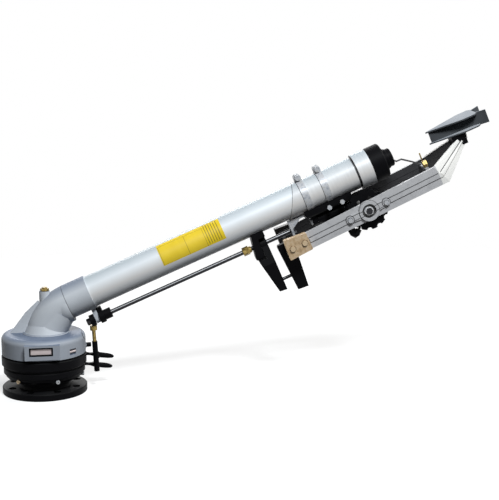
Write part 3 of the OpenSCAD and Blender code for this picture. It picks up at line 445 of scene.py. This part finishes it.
def cast_aluminium():
    """Sand-cast arm: mid grey with a fine grain, and pale on its bent front as a painted highlight.

    The edges of its ribs, the feet of its bosses and its inner faces are dark as painted shade.
    """
    shader = Shader("cast_aluminium")
    grain = shader.noise(1300, 3, 0.6)
    cloud = shader.noise(26, 4)
    stain = shader.noise(70, 3).below(0.36, 0.2)
    light = shader.mix(cloud, (0.36, 0.36, 0.37), (0.48, 0.48, 0.49))
    worn = shader.mix(stain * 0.35, light, (0.20, 0.20, 0.21))
    along, across, rise = (shader.coordinate(ON_ARM, axis) for axis in range(3))
    straight = along.below(ARM_L - 0.006, 0.002)
    bent = 1.0 - straight
    # Painted shade: dark lines along the rib edges and round the feet of the bosses and bolt heads
    edges = shader.line(abs(rise), RIB_EDGE, 0.0008) * straight
    for bolt in CARRIER_BOLTS:
        from_bolt = distance(along - bolt, rise)
        edges = edges * from_bolt.above(CARRIER_BOSS_R, CRISP)
        edges = edges + shader.line(from_bolt, CARRIER_BOSS_FOOT, 0.0009)
        edges = edges + shader.line(from_bolt, CARRIER_HEAD_FOOT, 0.0007)
    edges = edges + shader.line(distance(along, rise), PIVOT_BOSS_FOOT, 0.0008) * 0.8
    # Painted shade on the inner faces of the arms
    inner_face_shade = abs(across).below(ARM_INNER_FACE, SOFT) * straight
    inner_start, inner_end = BENT_INNER_FACE
    for place in (ON_BENT, ON_FAR_BENT):
        reach, depth, height = (shader.coordinate(place, axis) for axis in range(3))
        outer_face = reach.above(0.002, SOFT) * abs(depth).below(0.004, SOFT)
        rib = shader.line(abs(height) + reach * BENT_RIB_TAPER, BENT_RIB_EDGE, 0.0008)
        edges = edges + rib * outer_face
        inner_face_shade = inner_face_shade + depth.above(inner_start, CRISP) * depth.below(inner_end, CRISP) * bent
    painted_shade = (edges * 0.9 + inner_face_shade * 0.95).clamp()
    # Painted highlight: the bent front is mixed towards a pale grey
    bent_front_highlight = shader.mix(bent * 0.9, worn, (0.74, 0.73, 0.70))
    colour = shader.mix(painted_shade, bent_front_highlight, (0.004, 0.004, 0.006))
    relief = shader.bump(grain - edges, 0.0003, 0.5)
    return shader.finish(colour, 0.42 + grain * 0.2, 0.1, relief, 0.3)


def black_paint():
    """Black paint over cast iron, with a slight grain and dust on what faces up."""
    shader = Shader("black_paint")
    grain = shader.noise(700, 3, 0.55)
    cloud = shader.noise(22, 3)
    dust = (shader.upward() * cloud * 0.22).clamp()
    base = shader.mix(cloud, (0.0012, 0.0012, 0.0016), (0.005, 0.005, 0.006))
    colour = shader.mix(dust, base, (0.045, 0.045, 0.045))
    relief = shader.bump(grain, 0.0004, 0.45)
    return shader.finish(colour, 0.34 + grain * 0.18, normal=relief, gloss=0.035)


def black_plastic():
    """Moulded plastic with a fine spark-eroded grain."""
    shader = Shader("black_plastic")
    grain = shader.noise(2400, 2)
    cloud = shader.noise(30, 2)
    colour = shader.mix(cloud, (0.0012, 0.0012, 0.0016), (0.005, 0.005, 0.006))
    relief = shader.bump(grain, 0.00015, 0.5)
    return shader.finish(colour, 0.42 + grain * 0.15, normal=relief, gloss=0.03)


def zinc_plate():
    """Zinc plating, faintly mottled. The bolts in the near weights are tan."""
    shader = Shader("zinc_plate")
    mottle = shader.noise(160, 3)
    scratch = shader.noise(1800, 2)
    plated = shader.ramp(
        mottle, (0.3, (0.24, 0.26, 0.29)), (0.5, (0.42, 0.43, 0.45)), (0.7, (0.34, 0.34, 0.33))
    )
    along, across, rise = (shader.coordinate(ON_ARM, axis) for axis in range(3))
    on_weight = along.below(WEIGHT_FRONT, SOFT) * abs(rise).below(WEIGHT_HALF_H, SOFT)
    tanned = on_weight * across.below(WEIGHT_NEAR_Y, SOFT)
    colour = shader.mix(tanned, plated, (0.50, 0.38, 0.24))
    relief = shader.bump(scratch, 0.00008, 0.4)
    return shader.finish(colour, 0.26 + mottle * 0.2, 0.15, relief)


def polished_steel():
    """Ground bar with fine lines round it, and a painted highlight along its upper side."""
    shader = Shader("polished_steel")
    lines = shader.noise(1.0, 2, 0.5, shader.stretched(ON_REVERSER, (2200, 60, 60)))
    ground = shader.mix(lines, (0.012, 0.012, 0.014), (0.04, 0.04, 0.045))
    # Painted highlight: a bright band where the bar's normal points partly up
    painted_highlight = 1.0 - (abs(shader.upward() - 0.42) * 5.0).clamp()
    colour = shader.mix(painted_highlight, ground, (0.62, 0.63, 0.65))
    relief = shader.bump(lines, 0.00004, 0.3)
    return shader.finish(colour, 0.24 + lines * 0.12, 0.12, relief, 0.15)


def passivated_plate():
    """Yellow-passivated zinc, faded to tan, with pale and pinkish patches.

    Dark rings round the bolts and the black of the weights on the far side are painted shade.
    """
    shader = Shader("passivated_plate")
    patch = shader.noise(110, 4, 0.6)
    fine = shader.noise(700, 3)
    tan = shader.ramp(
        patch,
        (0.30, (0.28, 0.19, 0.11)),
        (0.45, (0.44, 0.31, 0.18)),
        (0.58, (0.52, 0.40, 0.26)),
        (0.72, (0.50, 0.33, 0.24)),
    )
    speckled = shader.mix(fine.below(0.4, 0.1) * 0.4, tan, (0.33, 0.24, 0.15))
    along, across, rise = (shader.coordinate(ON_ARM, axis) for axis in range(3))
    # Painted shade: dark rings round the feet of the bolts
    bolt_foot_shade = sum(
        shader.line(distance(along - bolt, rise - WEIGHT_BOLT_RISE), WEIGHT_BOLT_FOOT, 0.0006)
        for bolt in WEIGHT_BOLTS
    )
    # Painted shade: the weights on the far side are made black
    far_side_shade = across.above(0.0, SOFT)
    painted_shade = (bolt_foot_shade * 0.8 + far_side_shade * 0.98).clamp()
    colour = shader.mix(painted_shade, speckled, (0.012, 0.012, 0.014))
    relief = shader.bump(fine, 0.0002, 0.5)
    return shader.finish(colour, 0.42 + fine * 0.15, 0.1, relief, 0.3)


def aged_brass(name, black_before=None):
    """Turned brass, dulled and darker in patches, and black before a place on the barrel."""
    shader = Shader(name)
    patch = shader.noise(140, 4, 0.6)
    fine = shader.noise(1500, 2)
    colour = shader.ramp(
        patch, (0.32, (0.07, 0.05, 0.015)), (0.5, (0.22, 0.15, 0.035)), (0.68, (0.42, 0.30, 0.09))
    )
    if black_before:
        blackened = shader.coordinate(ON_BARREL, 0).below(black_before, SOFT)
        colour = shader.mix(blackened, colour, (0.012, 0.012, 0.014))
    relief = shader.bump(fine, 0.0001, 0.4)
    return shader.finish(colour, 0.30 + patch * 0.22, 0.5, relief)


def deflector_metal():
    """Cast deflector: dark blue-grey walls as painted shade, between plates whose faces are pale as painted light.
    """
    shader = Shader("deflector_metal")
    cloud = shader.noise(45, 3)
    patch = shader.noise(14, 1)
    normal = shader.node("ShaderNodeTexCoord", output="Normal")
    facing = shader.dot(normal, ON_REVERSER.to_3x3().col[2])
    # Painted light on faces square to the plates, painted shade on the walls
    plate = abs(facing).above(0.9, 0.05)
    shaded_wall = shader.mix(cloud, (0.04, 0.044, 0.045), (0.085, 0.09, 0.10))
    lit_plate = shader.mix(patch, (0.17, 0.19, 0.215), (0.42, 0.43, 0.45))
    return shader.finish(shader.mix(plate, shaded_wall, lit_plate), 0.6 + cloud * 0.1, gloss=0.0)


def yellow_film():
    """Plain yellow decal with a line along its top and left, two dividers and a few bars."""
    shader = Shader("yellow_film")
    cloud = shader.noise(40, 3)
    along = (shader.coordinate(ON_BARREL, 0) - DECAL_START) / (DECAL_END - DECAL_START)
    height = shader.coordinate(ON_BARREL, 2)
    angle = height.maths("ARCTAN2", height, shader.coordinate(ON_BARREL, 1) * -1.0)
    up = (angle - DECAL_LOW) / (DECAL_HIGH - DECAL_LOW)
    under_top = up.below(DECAL_TOP_LINE, 0.01)
    fields = along.below(DECAL_DIVIDERS[1], 0.002) * under_top
    marks = shader.line(up, DECAL_TOP_LINE, 0.006) * along.below(DECAL_TOP_LINE_END, 0.01)
    for place in (DECAL_LEFT_LINE, *DECAL_DIVIDERS):
        marks = marks + shader.line(along, place, 0.003) * under_top
    count = along * DECAL_BAR_COUNT
    bars = abs(count.maths("FRACT", count) - 0.5).below(0.17, 0.1)
    first_bar, last_bar = DECAL_BARS
    barred = along.above(first_bar, 0.002) * along.below(last_bar, 0.002)
    marks = marks + bars * barred * up.above(DECAL_BARS_LOW, 0.02)
    yellow = shader.mix(cloud, (0.60, 0.43, 0.012), (0.74, 0.55, 0.02))
    faded = shader.mix(fields * 0.12, yellow, (0.66, 0.47, 0.10))
    colour = shader.mix(marks.clamp() * 0.75, faded, (0.09, 0.07, 0.015))
    relief = shader.bump(cloud, 0.0001, 0.3)
    return shader.finish(colour, 0.38 + cloud * 0.1, normal=relief, gloss=0.3)


def plain(name, colour_low, colour_high, rough, metallic, scale, depth):
    """A finish of two near colours with a grain, for the small and hidden pieces."""
    shader = Shader(name)
    grain = shader.noise(scale, 3)
    colour = shader.mix(shader.noise(scale / 12, 2), colour_low, colour_high)
    return shader.finish(colour, rough + grain * 0.15, metallic, shader.bump(grain, depth, 0.5))


silver = silver_paint()
film = yellow_film()
arm_metal = cast_aluminium()
plastic = black_plastic()
zinc = zinc_plate()
spoon_metal = deflector_metal()
rubber = plain(
    "black_rubber", (0.015, 0.015, 0.015), (0.03, 0.03, 0.03), 0.6, 0.0, 900, 0.0003
)
lining = plain("brake_lining", (0.10, 0.06, 0.04), (0.20, 0.13, 0.09), 0.7, 0.0, 700, 0.0004)
pale_plate = plain("bare_plate", (0.44, 0.37, 0.37), (0.56, 0.49, 0.48), 0.35, 0.3, 600, 0.0001)
bright_zinc = plain("bright_zinc", (0.55, 0.55, 0.56), (0.70, 0.70, 0.70), 0.3, 0.3, 900, 0.0001)
dark_wire = plain(
    "dark_wire", (0.008, 0.008, 0.009), (0.02, 0.02, 0.022), 0.4, 0.0, 1200, 0.0001
)

# The finish of each slot in the record, and of the nodes that differ from their slot
FINISHES = {
    "black_casting": black_paint(),
    "silver_paint": silver,
    "barrel_metal": barrel_aluminium(),
    "cast_aluminium": arm_metal,
    "zinc_steel": zinc,
    "polished_steel": polished_steel(),
    "passivated_steel": passivated_plate(),
    "brass": aged_brass("aged_brass"),
    "black_plastic": plastic,
    "black_rubber": rubber,
    "brake_lining": lining,
    "dark_steel": dark_wire,
    "bare_plate": pale_plate,
}
SPECIAL_FINISHES = {
    "deflector": spoon_metal,
    "rod_nuts": aged_brass("rod_nut_brass", BLACK_NUTS_END),
}

for part in frame["record"]["subparts"]:
    finish = SPECIAL_FINISHES.get(part["node"], FINISHES[part["material_slot"]])
    slots = nodes[part["node"]].data.materials
    slots.clear()
    slots.append(finish)


# Pieces that the photograph shows and the model leaves to the scene
def piece(name, mesh, matrix, finish, body):
    """Turns a bmesh that was drawn in a frame into a named piece that rides on a body."""
    bmesh.ops.recalc_face_normals(mesh, faces=mesh.faces)
    bmesh.ops.transform(mesh, matrix=matrix, verts=mesh.verts)
    made = linked(name, mesh, finish)
    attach(made, body)
    return made


def linked(name, mesh, finish):
    """Puts a bmesh into the scene as an object with one material."""
    data = bpy.data.meshes.new(name)
    mesh.to_mesh(data)
    mesh.free()
    made = bpy.data.objects.new(name, data)
    bpy.context.scene.collection.objects.link(made)
    data.materials.append(finish)
    return made


def smooth(made):
    """Shades a piece smooth, apart from its sharp edges."""
    made.data.shade_smooth()
    made.data.set_sharp_from_angle(angle=SHARP_ANGLE)


def turned(profile, steps=64):
    """A closed profile of (along, radius) points spun round the x axis."""
    mesh = bmesh.new()
    ring = [mesh.verts.new((along, 0, radius)) for along, radius in profile]
    edges = [mesh.edges.new(pair) for pair in zip(ring, ring[1:] + ring[:1])]
    bmesh.ops.spin(
        mesh,
        geom=ring + edges,
        cent=(0, 0, 0),
        axis=(1, 0, 0),
        angle=math.tau,
        steps=steps,
        use_merge=True,
    )
    return mesh


def raise_faces(mesh, shift):
    """Gives a flat mesh a thickness, by moving a copy of its faces."""
    raised = bmesh.ops.extrude_face_region(mesh, geom=mesh.faces[:])
    moved = [part for part in raised["geom"] if isinstance(part, bmesh.types.BMVert)]
    bmesh.ops.translate(mesh, vec=shift, verts=moved)


def slab(outline, low, high):
    """A flat outline of (x, z) points, given a thickness along y."""
    mesh = bmesh.new()
    mesh.faces.new([mesh.verts.new((x, low, z)) for x, z in outline])
    raise_faces(mesh, (0, high - low, 0))
    return mesh


def bevelled(mesh, width):
    """Rounds the corners of a slab."""
    edges = [edge for edge in mesh.edges if edge.calc_face_angle(0) > SHARPER_THAN]
    bmesh.ops.bevel(
        mesh, geom=edges, offset=width, segments=2, profile=0.5, affect="EDGES", material=-1
    )
    return mesh


def hex_nut(across_flats, low, high, hole):
    """A nut along the x axis, with its hole."""
    mesh = bmesh.new()
    corner = across_flats / 2 / math.cos(math.pi / 6)
    bmesh.ops.create_circle(mesh, cap_ends=False, segments=6, radius=corner)
    bmesh.ops.create_circle(mesh, cap_ends=False, segments=24, radius=hole)
    bmesh.ops.bridge_loops(mesh, edges=mesh.edges[:])
    raise_faces(mesh, (0, 0, high - low))
    place = Matrix.Translation((low, 0, 0)) @ Matrix.Rotation(math.pi / 2, 4, "Y")
    bmesh.ops.transform(mesh, matrix=place, verts=mesh.verts)
    return mesh


def add_decal():
    """A film round the near side of the barrel."""
    mesh = bmesh.new()
    start = Matrix.Rotation(-DECAL_LOW, 4, "X") @ Vector((0, -DECAL_R, 0))
    ends = [mesh.verts.new((along, start.y, start.z)) for along in (DECAL_START, DECAL_END)]
    edge = mesh.edges.new(ends)
    bmesh.ops.spin(
        mesh,
        geom=ends + [edge],
        cent=(0, 0, 0),
        axis=(1, 0, 0),
        angle=DECAL_LOW - DECAL_HIGH,
        steps=DECAL_STEPS,
    )
    bmesh.ops.solidify(mesh, geom=mesh.faces[:], thickness=DECAL_T)
    smooth(piece("barrel_decal", mesh, ON_BARREL, film, "gun"))


def add_finger_grips():
    """A grip on each stop finger, which droops from its ring."""
    outwards = Vector((math.cos(FINGER_ANGLE), math.sin(FINGER_ANGLE), 0))
    along = outwards * math.cos(FINGER_DROOP) - UP * math.sin(FINGER_DROOP)
    for name, (radius, height), profile, body in (
        ("upper_grip", UPPER_FINGER, BUMPED_GRIP, "upper_ring"),
        ("lower_grip", LOWER_FINGER, GRIP, "lower_ring"),
    ):
        place = frame_at(outwards * radius + UP * height, along, UP)
        smooth(piece(name, turned(profile, GRIP_STEPS), place, plastic, body))


def add_deflector_face():
    """A thin face on the top plate, drawn as a slab and laid flat."""
    place = (
        ON_REVERSER
        @ Matrix.Translation((FACE_START, 0, FACE_TOP))
        @ Matrix.Rotation(math.radians(90), 4, "X")
    )
    piece("deflector_face", slab(FACE_PLAN, -FACE_T, 0.0), place, spoon_metal, "drive_arm")


def add_arm_fronts():
    """The bent front of each arm, with the rib on its outer face."""
    for name, place in (("near", ON_BENT), ("far", ON_FAR_BENT)):
        plate = bevelled(slab(BENT_OUTLINE, -BENT_PROUD, BENT_T), BENT_BEVEL)
        rib = bevelled(slab(BENT_RIB, *BENT_RIB_SPAN), BENT_RIB_BEVEL)
        for part_name, mesh in ((f"{name}_arm_front", plate), (f"{name}_arm_front_rib", rib)):
            smooth(piece(part_name, mesh, place, arm_metal, "drive_arm"))


def add_window_shade_frame():
    """A dark frame just inside the window's edge, as painted shade in the recess."""
    mesh = bmesh.new()
    bmesh.ops.create_grid(mesh, x_segments=1, y_segments=1, size=0.5)
    bmesh.ops.scale(mesh, vec=(*WINDOW_SIZE, 1), verts=mesh.verts)
    bmesh.ops.inset_region(
        mesh, faces=mesh.faces[:], thickness=SHADE_FRAME_W, use_boundary=True, use_even_offset=True
    )
    middle = min(mesh.faces, key=lambda face: face.calc_center_median().length)
    bmesh.ops.delete(mesh, geom=[middle], context="FACES")
    raise_faces(mesh, (0, 0, -SHADE_FRAME_T))
    place = frame_at(Vector(WINDOW_FRONT), Vector((1, 0, 0)), Vector((0, -1, 0)))
    piece("window_shade_frame", mesh, place, plastic, "gun")


def add_pivot_details():
    """The dark ring of painted shade in the boss, the washer and the nut at each end of the arm's pivot."""
    across, up = ON_PIVOT.to_3x3().col[1], ON_PIVOT.to_3x3().col[2]
    for name, side in (("near", -1), ("far", 1)):
        place = frame_at(ON_PIVOT.translation, across * side, up)
        piece(f"pivot_shade_ring_{name}", turned(BOSS_SHADE_RING), place, rubber, "drive_arm")
        smooth(
            piece(f"pivot_washer_{name}", turned(WASHER), place, zinc, "reverser")
        )
        mesh = hex_nut(NUT_ACROSS_FLATS, NUT_START, NUT_END, NUT_HOLE_R)
        nut = piece(f"pivot_nut_{name}", mesh, place, bright_zinc, "reverser")
        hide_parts("pivot_nuts")


def add_foot_bead():
    """A ring of round section where the elbow meets the bell."""
    angles = [math.tau * step / BEAD_POINTS for step in range(BEAD_POINTS)]
    section = [
        (BEAD_HALF * math.sin(angle), BEAD_R + BEAD_HALF * math.cos(angle)) for angle in angles
    ]
    place = frame_at(Vector(BEAD_CENTRE), UP, Vector((1, 0, 0)))
    bead = turned(section, BEAD_STEPS)
    smooth(piece("elbow_foot_bead", bead, place, silver, "gun"))


# Camera and stage
def add_camera():
    back = Vector((
        math.sin(CAMERA_AZIMUTH) * math.cos(CAMERA_ELEVATION),
        -math.cos(CAMERA_AZIMUTH) * math.cos(CAMERA_ELEVATION),
        math.sin(CAMERA_ELEVATION),
    ))
    data = bpy.data.cameras.new("camera")
    data.sensor_width = SENSOR
    data.lens = FOCAL_PIXELS * SENSOR / LONG_SIDE
    data.clip_end = CAMERA_REACH
    camera = bpy.data.objects.new("camera", data)
    aim = (-back).to_track_quat("-Z", "Y").to_matrix() @ Matrix.Rotation(CAMERA_ROLL, 3, "Z")
    camera.matrix_world = Matrix.Translation(CAMERA_PLACE) @ aim.to_4x4()
    bpy.context.scene.collection.objects.link(camera)
    bpy.context.scene.camera = camera


def floor_material():
    """White where it is seen, apart from the shadow; dark to other rays; clear far away."""
    shader = Shader("floor")
    matte = shader.surface
    matte.inputs["Base Color"].default_value = FLOOR_UNSEEN
    matte.inputs["Roughness"].default_value = 1.0
    matte.inputs["Specular IOR Level"].default_value = 0.0
    glow = shader.node("ShaderNodeEmission", {}, {"Strength": FLOOR_GLOW})
    paper = shader.node("ShaderNodeBsdfDiffuse", {}, {"Color": FLOOR_PAPER})
    total = shader.node("ShaderNodeAddShader", {}, {0: paper, 1: glow})
    shown = shader.node(
        "ShaderNodeMixShader", {}, {0: shader.seen(), 1: Value(shader, matte.outputs[0]), 2: total}
    )
    away = shader.node(
        "ShaderNodeVectorMath",
        {"operation": "DISTANCE"},
        {0: shader.point, 1: FLOOR_CENTRE},
        output="Value",
    )
    near = away.below(FLOOR_FADES_AT, FLOOR_FADE)
    clear = shader.node("ShaderNodeBsdfTransparent")
    faded = shader.node("ShaderNodeMixShader", {}, {0: near, 1: clear, 2: shown})
    shader.feed(shader.tree.nodes["Material Output"].inputs["Surface"], faded)
    return shader.material


def add_floor():
    mesh = bmesh.new()
    bmesh.ops.create_grid(mesh, x_segments=1, y_segments=1, size=FLOOR_HALF)
    linked("floor", mesh, floor_material())


def add_world():
    """White where it is seen or mirrored, and a low even light elsewhere."""
    world = bpy.data.worlds.new("studio")
    bpy.context.scene.world = world
    world.use_nodes = True
    sky = Nodes(world.node_tree)
    lit = sky.tree.nodes["Background"]
    lit.inputs["Color"].default_value = AMBIENT_COLOUR
    lit.inputs["Strength"].default_value = AMBIENT
    white = sky.node("ShaderNodeBackground", {}, {"Color": (1, 1, 1, 1)})
    choice = sky.node(
        "ShaderNodeMixShader", {}, {0: sky.seen(), 1: Value(sky, lit.outputs[0]), 2: white}
    )
    sky.feed(sky.tree.nodes["World Output"].inputs["Surface"], choice)


def add_light(name, place, size, power, colour):
    """A soft box that faces the middle of the object."""
    data = bpy.data.lights.new(name, "AREA")
    data.shape = "RECTANGLE"
    data.size, data.size_y = size
    data.energy = power
    data.color = colour
    light = bpy.data.objects.new(name, data)
    light.location = place
    light.rotation_mode = "QUATERNION"
    light.rotation_quaternion = (MIDDLE - Vector(place)).to_track_quat("-Z", "Y")
    bpy.context.scene.collection.objects.link(light)


add_decal()
add_finger_grips()
add_deflector_face()
add_arm_fronts()
add_window_shade_frame()
add_pivot_details()
add_foot_bead()
add_camera()
add_floor()
add_world()
for light in LIGHTS:
    add_light(*light)
bpy.context.scene.view_settings.view_transform = "Standard"
